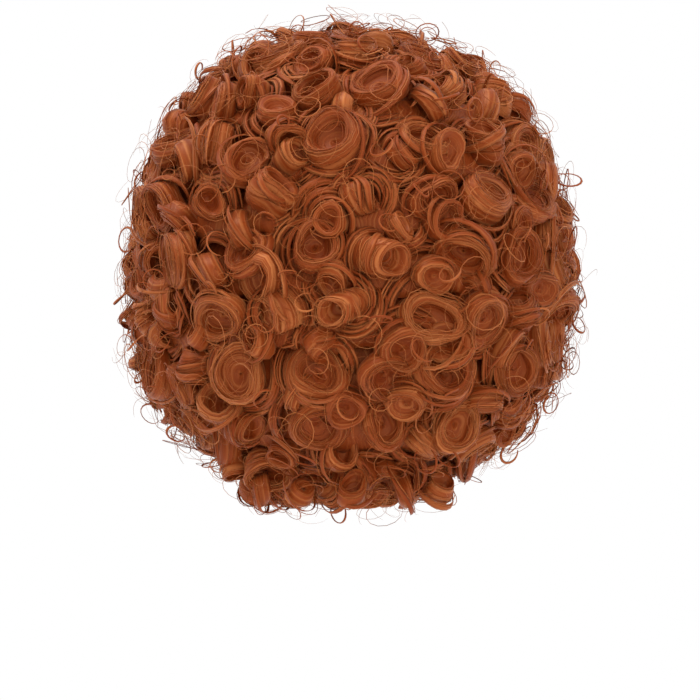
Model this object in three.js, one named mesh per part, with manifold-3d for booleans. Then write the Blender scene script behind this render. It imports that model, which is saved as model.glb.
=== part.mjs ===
// A short curly wig: a hollow net cap, and the wefts of curled hair that are sewn round it row above row.
// Millimetres, +Z up, the face towards -Y. The origin is the inside of the cap's crown, where it sits
// on a head.

import * as THREE from "three";
import { ParametricGeometry } from "three/addons/geometries/ParametricGeometry.js";
import { mergeVertices } from "three/addons/utils/BufferGeometryUtils.js";
import Module from "manifold-3d";

const kernel = await Module();
kernel.setup();

// The head's hollow and the outside of the hair are eggs about one centre: each has a reach to either side,
// to the front, to the back, up and down, and a power that is 2 for an ellipsoid and more for a squarer form.
const CENTRE = new THREE.Vector3(0, 0, -100);
const HOLLOW = { side: 76, front: 96, back: 96, up: 100, down: 110, nape: 110, power: 2 };
const HAIR = { side: 133, front: 128, back: 151, up: 162, down: 114, nape: 136, power: 2.3 };

// The cap is net cloth. Its lower edge is given as a polar angle, down from the crown, at each turn round
// the head.
const CAP_WALL = 1.5;
const CAP_STEPS_DOWN = 7;
const CAP_EDGE = [
  { place: "nape", turn: 0, polar: 142 },
  { place: "nape_corner", turn: 42, polar: 140 },
  { place: "behind_ear", turn: 66, polar: 116 },
  { place: "over_ear", turn: 84, polar: 101 },
  { place: "ear_tab", turn: 108, polar: 119 },
  { place: "temple", turn: 132, polar: 76 },
  { place: "forehead", turn: 180, polar: 57 },
];

// Turns are measured from the middle of the back, and every piece is faceted on the same steps.
const TURN_STEP = 15;

// The neck that the lowest hair stands clear of, and the gaps that the pieces keep.
const NECK = { side: 56, depth: 66 };
const SEAT_GAP = 0.35;
const WEFT_GAP = 0.5;

// A weft's dense under-hair ends below the outside by the curls' height, and thins out to the hairline
// at its ends.
const LEAST_UNDER_HAIR = 5;
const END_LEAN = 9;
const END_DEPTH = 0.3;

// Each curl is a roll with a hollow eye. It faces outwards, never lower than the steepest facing, and the
// curls beside the face turn towards it. The spreads are how far the curls differ from each other.
const CURL = { radius: 15.8, height: 17, sink: 12, sides: 6, eyeDepth: 0.5, lip: 0.6, foot: 0.84 };
const CURL_SPREAD = { radius: 0.14, height: 0.3, tilt: 16, turn: 0.22 };
const CURL_ROOM = 40;
const STEEPEST_FACING = 0.35;
const FACE_TURN = { within: 18, angle: 50 };

// The rows of hair from the crown to the nape. A half span of 180 goes right round, and a smaller one
// leaves the face open. The pitch is the polar angle from one row to the next.
const CROWN_POLAR = 20.4;
const CROWN_CURLS = 7;
const ROW_PITCH = 13.6;
const WEFTS = [
  { name: "top_weft_1", halfSpan: 180, curls: 11 },
  { name: "top_weft_2", halfSpan: 180, curls: 16 },
  { name: "fringe_weft", halfSpan: 180, curls: 19 },
  { name: "temple_weft", halfSpan: 150, curls: 17 },
  { name: "back_weft_1", halfSpan: 135, curls: 16 },
  { name: "back_weft_2", halfSpan: 120, curls: 15 },
  { name: "back_weft_3", halfSpan: 120, curls: 14 },
  { name: "back_weft_4", halfSpan: 120, curls: 12 },
  { name: "back_weft_5", halfSpan: 105, curls: 9 },
  { name: "nape_weft", halfSpan: 45, curls: 4, share: 0.6 },
];

const HAIR_FINISH = { color: 0x9a4a26, roughness: 0.5, metalness: 0 };
const NET_FINISH = { color: 0x4a2517, roughness: 0.9, metalness: 0 };

const { degToRad, lerp } = THREE.MathUtils;

// An even scatter from 0 to 1 for the n-th curl, and a different one for each kind of change.
function scatter(n, kind) {
  const value = n * 0.61803398875 + kind * 0.75487766625;
  return value - Math.floor(value);
}

// The unit vector at a polar angle down from the crown and a turn from the middle of the back, in degrees.
function direction(polar, turn) {
  const down = degToRad(polar);
  const round = degToRad(turn);
  return new THREE.Vector3(
    Math.sin(down) * Math.sin(round),
    Math.sin(down) * Math.cos(round),
    Math.cos(down),
  );
}

// An egg's reach along each axis on the side that a direction points to. The nape reaches lower than
// the sides.
function reach(egg, toward) {
  const level = Math.hypot(toward.x, toward.y) || 1;
  const backward = Math.max(toward.y / level, 0);
  const low = lerp(egg.down, egg.nape, backward * backward);
  return new THREE.Vector3(
    egg.side,
    toward.y < 0 ? egg.front : egg.back,
    toward.z < 0 ? low : egg.up,
  );
}

// The distance from the centre to an egg's surface along a direction.
function eggRadius(egg, toward) {
  const share = toward.clone().divide(reach(egg, toward)).toArray();
  const sum = share.reduce((total, value) => total + Math.abs(value) ** egg.power, 0);
  return sum ** (-1 / egg.power);
}

// The way that an egg's surface faces along a direction.
function eggNormal(egg, toward) {
  const size = reach(egg, toward).toArray();
  const slope = toward.toArray().map((value, axis) => {
    return (Math.sign(value) * Math.abs(value / size[axis]) ** (egg.power - 1)) / size[axis];
  });
  return new THREE.Vector3(...slope).normalize();
}

const capInside = (toward) => eggRadius(HOLLOW, toward);
const capOutside = (toward) => capInside(toward) + CAP_WALL;

// How far a flat facet of the hair's inside dips below the curve from its upper edge to its lower one.
const FACET_SAG = HOLLOW.back * (1 - Math.cos(degToRad(ROW_PITCH / 2)));

// The inside of the hair lies on the cap, and below the nape it stands round the neck.
function hairInside(toward) {
  const neck = 1 / Math.hypot(toward.x / NECK.side, toward.y / NECK.depth);
  const seat = capOutside(toward) + SEAT_GAP + FACET_SAG;
  return toward.z < 0 ? Math.max(seat, neck) : seat;
}

// The dense under-hair reaches from the inside of the hair to the feet of the curls.
function underHairOutside(toward) {
  return Math.max(eggRadius(HAIR, toward) - CURL.height, hairInside(toward) + LEAST_UNDER_HAIR);
}

// The polar angle of the cap's edge at a turn, eased from one named place to the next.
function capEdge(turn) {
  const round = Math.abs(turn);
  const next = Math.max(CAP_EDGE.findIndex((row) => row.turn >= round), 1);
  const [before, after] = [CAP_EDGE[next - 1], CAP_EDGE[next]];
  const along = (round - before.turn) / (after.turn - before.turn);
  return lerp(before.polar, after.polar, (1 - Math.cos(Math.PI * along)) / 2);
}

// A closed solid from a geometry, with its shared corners merged and its collapsed faces dropped.
function solidFrom(geometry) {
  const bare = geometry.clone();
  bare.deleteAttribute("normal");
  bare.deleteAttribute("uv");
  const merged = mergeVertices(bare, 1e-4);
  const corners = merged.index.array;
  const faces = [];
  for (let i = 0; i < corners.length; i += 3) {
    const [a, b, c] = corners.subarray(i, i + 3);
    if (a !== b && b !== c && c !== a) faces.push(a, b, c);
  }
  return new kernel.Manifold(
    new kernel.Mesh({
      numProp: 3,
      vertProperties: new Float32Array(merged.attributes.position.array),
      triVerts: new Uint32Array(faces),
    }),
  );
}

function geometryFrom(solid) {
  const { vertProperties, triVerts } = solid.getMesh();
  const geometry = new THREE.BufferGeometry();
  geometry.setAttribute("position", new THREE.BufferAttribute(vertProperties, 3));
  geometry.setIndex(new THREE.BufferAttribute(triVerts, 1));
  geometry.computeVertexNormals();
  return geometry;
}

// A wall between an inside and an outside that are distances from the centre. Its section is a loop that
// goes down the outside and back up the inside. The loop is carried round the head, and an open wall's two
// ends close on a point that leans on past them, near the inside.
function wallSolid({ inside, outside, polarFrom, polarTo, halfSpan = 180, stepsDown = 1 }) {
  const open = halfSpan < 180;
  const steps = (2 * halfSpan) / TURN_STEP;
  const side = stepsDown + 1;
  const loop = polarFrom > 0 ? 2 * side : 2 * side - 1;
  const point = (turn, corner) => {
    const place = corner % (2 * side);
    const isOutside = place < side;
    const share = (isOutside ? place : 2 * side - 1 - place) / stepsDown;
    const toward = direction(lerp(polarFrom, polarTo(turn), share), turn);
    return toward.clone().multiplyScalar(isOutside ? outside(toward) : inside(toward)).add(CENTRE);
  };
  const endPoint = (turn) => {
    const toward = direction((polarFrom + polarTo(turn)) / 2, turn + Math.sign(turn) * END_LEAN);
    return toward.clone().multiplyScalar(lerp(inside(toward), outside(toward), END_DEPTH)).add(CENTRE);
  };
  const slices = open ? steps + 2 : steps;
  const surface = (u, v, target) => {
    const slice = Math.round(u * slices) - (open ? 1 : 0);
    const turn = Math.min(Math.max(slice, 0), steps) * TURN_STEP - halfSpan;
    const isEnd = slice < 0 || slice > steps;
    const wrapped = open || slice < steps ? turn : -halfSpan;
    target.copy(isEnd ? endPoint(turn) : point(wrapped, Math.round(v * loop)));
  };
  return solidFrom(new ParametricGeometry(surface, slices, loop));
}

// One rolled curl: a lathe with a wide foot, a bulging side, a lip and a hollow eye. Its axis is its own Y.
function curlSolid(radius, height) {
  const profile = [
    [0, -CURL.sink],
    [CURL.foot * radius, -CURL.sink],
    [radius, CURL.lip * height],
    [CURL.lip * radius, height],
    [0, CURL.eyeDepth * height],
  ];
  const points = profile.map(([r, h]) => new THREE.Vector2(r, h));
  return solidFrom(new THREE.LatheGeometry(points, CURL.sides));
}

// The curl's axis: the way the hair's surface faces, turned to the face near a weft's ends, and leaning
// a little, each curl its own way.
function curlAxis(toward, turn, halfSpan, n) {
  const facing = eggNormal(HAIR, toward);
  facing.setZ(Math.max(facing.z, -STEEPEST_FACING)).normalize();
  const fromEnd = halfSpan < 180 ? (halfSpan - Math.abs(turn)) / FACE_TURN.within : 1;
  const faceTurn = degToRad(FACE_TURN.angle * Math.max(1 - fromEnd, 0) * Math.sign(turn));
  facing.applyAxisAngle(new THREE.Vector3(0, 0, 1), -faceTurn);
  const level = new THREE.Vector3(0, 0, 1).cross(facing).normalize();
  const lean = degToRad(CURL_SPREAD.tilt * scatter(n, 3));
  const way = 2 * Math.PI * scatter(n, 4);
  const across = level.applyAxisAngle(facing, way);
  return facing.multiplyScalar(Math.cos(lean)).addScaledVector(across, Math.sin(lean));
}

// A row of curls at one polar angle, spread along the weft. The first curl's number keeps every curl
// different.
function curlRow({ polar, halfSpan, curls, first }) {
  return Array.from({ length: curls }, (_, index) => {
    const n = first + index;
    const pitch = (2 * halfSpan) / curls;
    const turn = (index + 0.5 + CURL_SPREAD.turn * (scatter(n, 1) - 0.5)) * pitch - halfSpan;
    const toward = direction(polar, turn);
    const radius = CURL.radius * (1 + CURL_SPREAD.radius * (scatter(n, 2) - 0.5));
    const height = CURL.height * (1 + CURL_SPREAD.height * (scatter(n, 5) - 0.5));
    const foot = toward.clone().multiplyScalar(underHairOutside(toward)).add(CENTRE);
    const axis = curlAxis(toward, turn, halfSpan, n);
    const upright = new THREE.Quaternion().setFromUnitVectors(new THREE.Vector3(0, 1, 0), axis);
    const placed = new THREE.Matrix4().compose(foot, upright, new THREE.Vector3(1, 1, 1));
    return curlSolid(radius, height).transform(placed.toArray());
  });
}

const fuse = (solids) => solids.reduce((all, solid) => all.add(solid));

function namedMesh(name, solid, finish) {
  const mesh = new THREE.Mesh(geometryFrom(solid), new THREE.MeshStandardMaterial(finish));
  mesh.name = name;
  return mesh;
}

function capMesh() {
  const wall = wallSolid({
    inside: capInside,
    outside: capOutside,
    polarFrom: 0,
    polarTo: capEdge,
    stepsDown: CAP_STEPS_DOWN,
  });
  return namedMesh("cap", wall, NET_FINISH);
}

// Half the gap between two wefts, as a polar angle where it is narrowest.
const HALF_GAP_POLAR = THREE.MathUtils.radToDeg(WEFT_GAP / 2 / HOLLOW.side);

// A weft: under-hair between two polar angles, and curls that keep to the wedge between them, where they
// press on the curls of the next row.
function weftSolid({ polarFrom, polarTo, halfSpan = 180, stepsDown = 1, rolls }) {
  const from = (gap) => (polarFrom > 0 ? polarFrom + gap : 0);
  const underHair = wallSolid({
    inside: hairInside,
    outside: underHairOutside,
    polarFrom: from(HALF_GAP_POLAR),
    polarTo: () => polarTo - HALF_GAP_POLAR,
    halfSpan,
    stepsDown,
  });
  const wedge = wallSolid({
    inside: (toward) => hairInside(toward) + SEAT_GAP,
    outside: (toward) => underHairOutside(toward) + CURL_ROOM,
    polarFrom: from(2 * HALF_GAP_POLAR),
    polarTo: () => polarTo - 2 * HALF_GAP_POLAR,
    halfSpan: Math.min(halfSpan + TURN_STEP, 180),
  });
  return underHair.add(fuse(rolls).intersect(wedge));
}

function crownMesh() {
  const ring = curlRow({ polar: ROW_PITCH, halfSpan: 180, curls: CROWN_CURLS, first: 1 });
  const middle = curlRow({ polar: 0, halfSpan: 180, curls: 1, first: 0 });
  const solid = weftSolid({ polarFrom: 0, polarTo: CROWN_POLAR, stepsDown: 2, rolls: [...middle, ...ring] });
  return namedMesh("crown_hair", solid, HAIR_FINISH);
}

function weftMeshes() {
  let first = CROWN_CURLS + 1;
  return WEFTS.map(({ name, halfSpan, curls, share = 1 }, row) => {
    const polarFrom = CROWN_POLAR + row * ROW_PITCH;
    const polarTo = polarFrom + share * ROW_PITCH;
    const rolls = curlRow({ polar: (polarFrom + polarTo) / 2, halfSpan, curls, first });
    first += curls;
    return namedMesh(name, weftSolid({ polarFrom, polarTo, halfSpan, rolls }), HAIR_FINISH);
  });
}

const wig = new THREE.Group();
wig.name = "short_curly_wig";
wig.add(capMesh(), crownMesh(), ...weftMeshes());

export default wig;
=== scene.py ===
# %% [markdown]
# # A short curly wig
#
# The wig is a net cap with rows of curled hair sewn round it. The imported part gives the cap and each
# row, or weft, as a plain solid. Here each solid gets its looks: the hair becomes thousands of thin
# ribbons that roll up into curls. Blender has hair objects of its own, but a mesh of ribbons can be
# exported and measured, and any program can show it.

import bpy
import numpy as np
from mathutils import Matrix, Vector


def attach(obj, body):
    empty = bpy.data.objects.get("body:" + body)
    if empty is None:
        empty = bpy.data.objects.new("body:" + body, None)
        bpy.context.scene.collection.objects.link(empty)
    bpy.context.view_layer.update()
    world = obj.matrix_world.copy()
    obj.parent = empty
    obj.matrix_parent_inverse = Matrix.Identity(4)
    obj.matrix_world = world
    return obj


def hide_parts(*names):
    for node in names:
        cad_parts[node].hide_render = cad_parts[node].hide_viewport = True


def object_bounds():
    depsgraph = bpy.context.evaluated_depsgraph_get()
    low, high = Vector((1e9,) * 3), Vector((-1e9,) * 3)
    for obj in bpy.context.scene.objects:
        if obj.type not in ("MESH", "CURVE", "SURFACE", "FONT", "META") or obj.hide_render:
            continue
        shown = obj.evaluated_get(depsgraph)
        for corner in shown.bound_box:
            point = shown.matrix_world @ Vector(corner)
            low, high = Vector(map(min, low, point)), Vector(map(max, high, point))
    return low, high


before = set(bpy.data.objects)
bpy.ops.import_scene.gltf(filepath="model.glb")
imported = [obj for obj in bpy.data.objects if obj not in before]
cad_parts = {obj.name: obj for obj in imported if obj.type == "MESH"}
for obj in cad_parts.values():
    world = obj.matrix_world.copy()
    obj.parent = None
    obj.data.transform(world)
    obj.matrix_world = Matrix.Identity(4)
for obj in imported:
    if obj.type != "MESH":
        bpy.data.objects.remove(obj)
cad_low, cad_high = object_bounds()
print("packed nodes:", ", ".join(sorted(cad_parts)))

# %% [markdown]
# ## The form of the wig
#
# The wig's hollow and the outside of its hair are two eggs about one centre. They could be read from
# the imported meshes, but a formula gives any point on them, and the way they face there, at once. A
# point is given by a polar angle down from the crown and a turn from the middle of the back. The
# sizes are the part's own, so that every curl grows where its solid is.

# %% The two eggs
MM = 0.001
TINY = 1e-9
UP = np.array([0.0, 0.0, 1.0])
WIG_CENTRE = np.array([0.0, 0.0, -100 * MM])
HOLLOW = {"side": 76, "front": 96, "back": 96, "up": 100, "down": 110, "nape": 110, "power": 2.0}
HAIR = {"side": 133, "front": 128, "back": 151, "up": 162, "down": 114, "nape": 136, "power": 2.3}


def unit(vectors):
    """Vectors divided by their own lengths."""
    return vectors / np.linalg.norm(vectors, axis=-1, keepdims=True)


def dot(first, second):
    """Dot products of vectors: the sums of the products of their coordinates."""
    return np.sum(first * second, axis=-1)


def toward(polar, turn):
    """Unit vectors: the polar angle's sine spread over the turn, and its cosine upwards."""
    polar, turn = np.broadcast_arrays(np.radians(polar), np.radians(turn))
    level = np.sin(polar)
    return np.stack([level * np.sin(turn), level * np.cos(turn), np.cos(polar)], axis=-1)


def at_distance(way, distance):
    """Points along directions from the wig's centre, each at its own distance."""
    return WIG_CENTRE + way * distance[..., None]


def egg_reach(egg, way):
    """An egg's reach along each axis, on the side the direction points to. The nape reaches lower."""
    level = np.maximum(np.hypot(way[..., 0], way[..., 1]), TINY)
    backward = np.clip(way[..., 1] / level, 0, 1)
    low = egg["down"] + (egg["nape"] - egg["down"]) * backward**2
    along_y = np.where(way[..., 1] < 0, egg["front"], egg["back"])
    along_z = np.where(way[..., 2] < 0, low, egg["up"])
    along_x = np.full_like(along_y, egg["side"], dtype=float)
    return np.stack([along_x, along_y, along_z], axis=-1) * MM


def egg_radius(egg, way):
    """The distance to the egg: the power sum of direction over reach, to minus one over the power."""
    share = np.abs(way) / egg_reach(egg, way)
    return np.sum(share ** egg["power"], axis=-1) ** (-1 / egg["power"])


def egg_normal(egg, way):
    """The way the egg faces: the slope of the same power sum."""
    reach = egg_reach(egg, way)
    return unit(np.sign(way) * np.abs(way / reach) ** (egg["power"] - 1) / reach)


print("hair egg, side to side:", 2 * HAIR["side"], "mm")

# %% The inside of the hair and the under-hair
MOUTH_SIDE = 56 * MM
MOUTH_DEPTH = 66 * MM
HAIR_SEAT = 2.5 * MM
LEAST_UNDER_HAIR = 5 * MM
CURL_HEIGHT = 17 * MM


def hair_inside(way):
    """The inside of the hair: on the cap, and below it outside an upright oval mouth."""
    seat = egg_radius(HOLLOW, way) + HAIR_SEAT
    mouth = 1 / np.maximum(np.hypot(way[..., 0] / MOUTH_SIDE, way[..., 1] / MOUTH_DEPTH), TINY)
    return np.where(way[..., 2] < 0, np.maximum(seat, mouth), seat)


def under_hair_outside(way):
    """The outside of the dense under-hair: the hair's egg less the height of the curls."""
    return np.maximum(egg_radius(HAIR, way) - CURL_HEIGHT, hair_inside(way) + LEAST_UNDER_HAIR)


crown_depth = float(under_hair_outside(UP) - hair_inside(UP))
print("under-hair at the crown:", round(crown_depth, 4), "m")

# %% [markdown]
# ## Where the curls grow
#
# Each weft is a row of curls at one polar angle. Random places would bunch up, so an even scatter
# makes each curl a little different, and it is the same scatter that the part's solids use. A curl
# has a foot on the under-hair, an axis, a radius and a height.

# %% The wefts and the places in them
CROWN_POLAR = 20.4
ROW_PITCH = 13.6
TURN_SPREAD = 0.22
HALF_TURN = 180
QUARTER_TURN = 90
CURL_STEP = 0.61803398875
KIND_STEP = 0.75487766625
SCATTER_KINDS = {"turn": 1, "radius": 2, "lean": 3, "lean_way": 4, "height": 5}
WEFTS = [
    {"node": "crown_hair", "half_span": 180, "curls": 8, "share": 1.0},
    {"node": "top_weft_1", "half_span": 180, "curls": 11, "share": 1.0},
    {"node": "top_weft_2", "half_span": 180, "curls": 16, "share": 1.0},
    {"node": "fringe_weft", "half_span": 180, "curls": 19, "share": 1.0},
    {"node": "temple_weft", "half_span": 150, "curls": 17, "share": 1.0},
    {"node": "back_weft_1", "half_span": 135, "curls": 16, "share": 1.0},
    {"node": "back_weft_2", "half_span": 120, "curls": 15, "share": 1.0},
    {"node": "back_weft_3", "half_span": 120, "curls": 14, "share": 1.0},
    {"node": "back_weft_4", "half_span": 120, "curls": 12, "share": 1.0},
    {"node": "back_weft_5", "half_span": 105, "curls": 9, "share": 1.0},
    {"node": "nape_weft", "half_span": 45, "curls": 4, "share": 0.6},
]


def scatter(n, kind):
    """An even scatter from 0 to 1: what is left over of a step for each curl and one for each kind."""
    return np.mod(n * CURL_STEP + SCATTER_KINDS[kind] * KIND_STEP, 1.0)


def row_limits(row):
    """A row's upper and lower polar angles: the crown patch, then one pitch after another."""
    if row == 0:
        return 0.0, CROWN_POLAR
    start = CROWN_POLAR + (row - 1) * ROW_PITCH
    return start, start + WEFTS[row]["share"] * ROW_PITCH


def row_places(row):
    """The number, polar angle and turn of each curl in a row. The crown has one inside a ring."""
    weft = WEFTS[row]
    first = sum(w["curls"] for w in WEFTS[:row])
    n = first + np.arange(weft["curls"])
    ring = n[1:] if row == 0 else n
    pitch = 2 * weft["half_span"] / len(ring)
    step = np.arange(len(ring)) + 0.5 + TURN_SPREAD * (scatter(ring, "turn") - 0.5)
    turn = step * pitch - weft["half_span"]
    polar = np.full(len(ring), ROW_PITCH if row == 0 else np.mean(row_limits(row)))
    if row == 0:
        middle_step = 0.5 + TURN_SPREAD * (scatter(n[0], "turn") - 0.5)
        turn = np.concatenate([[middle_step * 2 * HALF_TURN - HALF_TURN], turn])
        polar = np.concatenate([[0.0], polar])
    return n, polar, turn


print("wefts:", len(WEFTS))

# %% The table of curls
CURL_RADIUS = 15.8 * MM
RADIUS_SPREAD = 0.14
HEIGHT_SPREAD = 0.3
TILT_SPREAD = 16.0
STEEPEST_FACING = 0.35
FACE_TURN_WITHIN = 18.0
FACE_TURN = 50.0
CIRCLE = 2 * np.pi


def turned(vectors, axes, angles):
    """Vectors turned about axes: the part along the axis stays, and the rest swings round it."""
    angles = np.asarray(angles)[..., None]
    along = dot(vectors, axes)[..., None] * axes
    across = np.cross(axes, vectors)
    return along + (vectors - along) * np.cos(angles) + across * np.sin(angles)


def side_axes(axis, spin):
    """Two directions square to an axis and to each other, turned about it by a spin."""
    level = unit(np.cross(UP, axis) + TINY)
    first = turned(level, axis, spin)
    return first, np.cross(axis, first)


def hair_facing(way):
    """The way the hair's egg faces, kept from facing down too steeply."""
    facing = egg_normal(HAIR, way)
    facing[:, 2] = np.maximum(facing[:, 2], -STEEPEST_FACING)
    return unit(facing)


def curl_axes(way, turn, half_span, n):
    """The way each curl faces: the hair's facing, turned to the front at a weft's ends, then leaning."""
    facing = hair_facing(way)
    if half_span < HALF_TURN:
        near_end = np.clip(1 - (half_span - np.abs(turn)) / FACE_TURN_WITHIN, 0, None)
        facing = turned(facing, UP, -np.radians(FACE_TURN * near_end * np.sign(turn)))
    across, _ = side_axes(facing, CIRCLE * scatter(n, "lean_way"))
    lean = np.radians(TILT_SPREAD * scatter(n, "lean"))[:, None]
    return facing * np.cos(lean) + across * np.sin(lean)


def curl_table():
    """Every curl as rows of arrays: its weft, number, place, foot, axis, way outwards and size."""
    rows = []
    for row, weft in enumerate(WEFTS):
        n, polar, turn = row_places(row)
        way = toward(polar, turn)
        rows.append({
            "weft": np.full(len(n), row),
            "number": n,
            "polar": polar,
            "turn": turn,
            "foot": at_distance(way, under_hair_outside(way)),
            "axis": curl_axes(way, turn, weft["half_span"], n),
            "normal": egg_normal(HAIR, way),
            "radius": CURL_RADIUS * (1 + RADIUS_SPREAD * (scatter(n, "radius") - 0.5)),
            "height": CURL_HEIGHT * (1 + HEIGHT_SPREAD * (scatter(n, "height") - 0.5)),
        })
    return {key: np.concatenate([r[key] for r in rows]) for key in rows[0]}


curls = curl_table()
print("curls:", len(curls["number"]))

# %% [markdown]
# ## Ribbons of hair
#
# A lock of hair, and a single hair too, is drawn as a thin closed ribbon. A bevelled curve would do
# for a few of them. For thousands it is quicker to carry a section along all the paths of a kind at
# once: the paths are one array of ribbon, step and coordinate, and the section's corners are added to
# every step together. Each corner also keeps its place across and along the hair, for the streaks of
# the finish.

# %% Ribbons along paths
HAIR_SECTION = np.array([[-1.0, -0.5], [1.0, -0.5], [0.0, 1.0]])
LOCK_SECTION = np.array([[1.0, 0.0], [0.45, 1.0], [-0.45, 1.0], [-1.0, 0.0], [0.0, -0.7]])
TONE_APART = 3.7


def ribbons(paths, out, across, half_width, half_thick, tone, section):
    """Closed ribbons along paths: each step's point plus the section's corners, across by the half
    width and out by the half thickness."""
    count, steps, _ = paths.shape
    sides = len(section)
    points = (
        paths[:, :, None, :]
        + across[:, :, None, :] * (section[:, 0] * half_width[:, :, None])[..., None]
        + out[:, :, None, :] * (section[:, 1] * half_thick[:, :, None])[..., None]
    )
    grid = np.arange(count * steps * sides).reshape(count, steps, sides)
    around = np.roll(grid, -1, axis=2)
    quads = np.stack([grid[:, :-1], around[:, :-1], around[:, 1:], grid[:, 1:]], axis=-1)
    caps = np.concatenate([grid[:, 0, ::-1], grid[:, -1, :]])
    moved = np.diff(paths, axis=1, prepend=paths[:, :1])
    travelled = np.linalg.norm(moved, axis=-1).cumsum(axis=1)
    apart = tone[:, None, None] * TONE_APART
    place_across = section[:, 0] * half_width.max(axis=1)[:, None, None] + apart
    flow = np.stack(np.broadcast_arrays(place_across, travelled[:, :, None], apart), axis=-1)
    return {
        "points": points.reshape(-1, 3),
        "corners": np.concatenate([quads.ravel(), caps.ravel()]),
        "totals": np.concatenate([np.full(quads.size // 4, 4), np.full(len(caps), sides)]),
        "flow": flow.reshape(-1, 3),
        "tone": np.repeat(tone, steps * sides),
    }


def lie_flat(paths, facing):
    """The outward and sideways directions of ribbons that face a given way, square to the path."""
    along = unit(np.gradient(paths, axis=1))
    out = unit(facing - dot(facing, along)[..., None] * along)
    return out, np.cross(out, along)


def hair_set(weft, paths, lie, half_width, half_thick, tone, section):
    """A set of hairs to be made into ribbons: the weft of each, its path, the way it lies, its half
    sizes at each step, its tone and its section."""
    out, across = lie
    return {
        "weft": weft,
        "paths": paths,
        "out": out,
        "across": across,
        "half_width": half_width,
        "half_thick": half_thick,
        "tone": tone,
        "section": section,
    }


print("corners of a hair and of a lock:", len(HAIR_SECTION), len(LOCK_SECTION))

# %% [markdown]
# ## Big curls
#
# Hair set on rollers makes two kinds of curl: pin curls, which face outwards and show their rings,
# and rolls, which lean over and show their sides. Copies of one curl would look stamped, so seeded
# draws give each its own kind, lean, size and hand. The big curls stand where the solids' curls are,
# moved a little so that the rows do not show, and none hangs below the hem.

# %% Draws for the curls
rng = np.random.default_rng(20)
PIN_CURL = {"radius": (0.7, 1.02), "height": (0.76, 0.98), "hole": (0.54, 0.76), "dish": (0.65, 1.05)}
ROLL_CURL = {"radius": (0.5, 0.74), "height": (1.1, 1.5), "hole": (0.5, 0.72), "dish": (0.5, 0.66)}
ROOM_POLAR = (0, 30, 60, 130, 148)
ROOM_SHARE = (0.88, 0.92, 1.0, 0.95, 0.7)


def draw(low, high, count):
    """Even random draws between two limits."""
    return rng.uniform(low, high, count)


def either_way(most, count):
    """Even random draws, as far one way as the other."""
    return draw(-most, most, count)


def pin_or_roll(pin, size):
    """A draw for every curl: from the pin curls' limits or from the rolls'."""
    of_pins = draw(*PIN_CURL[size], len(pin))
    of_rolls = draw(*ROLL_CURL[size], len(pin))
    return np.where(pin, of_pins, of_rolls)


def leaning(axis, lean):
    """Axes leaned by an angle, each its own way."""
    across, _ = side_axes(axis, draw(0, CIRCLE, len(axis)))
    lean = np.radians(lean)[:, None]
    return axis * np.cos(lean) + across * np.sin(lean)


def room_for(polar):
    """The share of its size that a curl keeps: all at the sides, less on top and under the nape."""
    return np.interp(polar, ROOM_POLAR, ROOM_SHARE)


print("room on top and under the nape:", room_for(0), room_for(HALF_TURN))

# %% The shape of a curl
ROLL_BASE = 0.3
ROLL_BEND = 0.6
LYING_STAND = 0.62
MOST_OVAL = 0.24
LAYERS = (2.5, 5.0)
CURL_TONE = (0.22, 0.66)
HEM_LEVEL = cad_low[2] + 2 * MM
SLOPE_GUARD = 1.001


def above_hem(middle, normal, axis, radius, height):
    """The middles of curls, moved up along the hair by as much as each would hang below the hem."""
    reach_down = radius * np.sqrt(1 - axis[:, 2] ** 2) + 0.5 * height * np.abs(axis[:, 2])
    hangs_below = np.maximum(HEM_LEVEL - middle[:, 2] + reach_down, 0)[:, None]
    up_the_hair = (UP - normal * normal[:, 2:]) / (SLOPE_GUARD - normal[:, 2:] ** 2)
    return middle + up_the_hair * hangs_below


def curl_shape(weft, foot, normal, axis, radius, height, pin):
    """A table of curls. The middle stands above the foot by half the height of an upright curl and by
    a share of the radius of a lying one. Each has its own hand, oval, hole, dish, layers and tone."""
    count = len(weft)
    first, second = side_axes(axis, draw(0, CIRCLE, count))
    upright = dot(axis, normal)
    stand = 0.5 * height * upright**2 + LYING_STAND * radius * (1 - upright**2)
    middle = foot + normal * stand[:, None]
    return {
        "weft": weft,
        "pin": pin,
        "middle": above_hem(middle, normal, axis, radius, height),
        "normal": normal,
        "axis": axis,
        "first": first,
        "second": second,
        "radius": radius,
        "height": height,
        "hand": np.where(rng.random(count) < 0.5, -1.0, 1.0),
        "oval": draw(0, MOST_OVAL, count),
        "hole": pin_or_roll(pin, "hole"),
        "dish": pin_or_roll(pin, "dish"),
        "base": np.where(pin, 0.0, ROLL_BASE),
        "layers": draw(*LAYERS, count),
        "bend": ROLL_BEND * radius * (1 - upright**2),
        "phase": draw(0, CIRCLE, count),
        "tone": draw(*CURL_TONE, count),
    }


print("hem level:", round(float(HEM_LEVEL), 4), "m")

# %% The big curls
STRAY = 6 * MM
PIN_SHARE = 0.6
PIN_LEAN = 32.0
ROLL_LEAN = (40.0, 84.0)


def big_curls():
    """The part's own curls, strayed a little. Rolls are narrower and longer than pin curls."""
    count = len(curls["number"])
    pin = rng.random(count) < PIN_SHARE
    lean = np.where(pin, PIN_LEAN * np.sqrt(rng.random(count)), draw(*ROLL_LEAN, count))
    aside, _ = side_axes(curls["normal"], draw(0, CIRCLE, count))
    room = room_for(curls["polar"])
    return curl_shape(
        weft=curls["weft"],
        foot=curls["foot"] + aside * (STRAY * rng.random(count))[:, None],
        normal=curls["normal"],
        axis=leaning(curls["axis"], lean),
        radius=room * curls["radius"] * pin_or_roll(pin, "radius"),
        height=room * curls["height"] * pin_or_roll(pin, "height"),
        pin=pin,
    )


curl_sizes = {"big": big_curls()}
print("big curls:", len(curl_sizes["big"]["weft"]))

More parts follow.
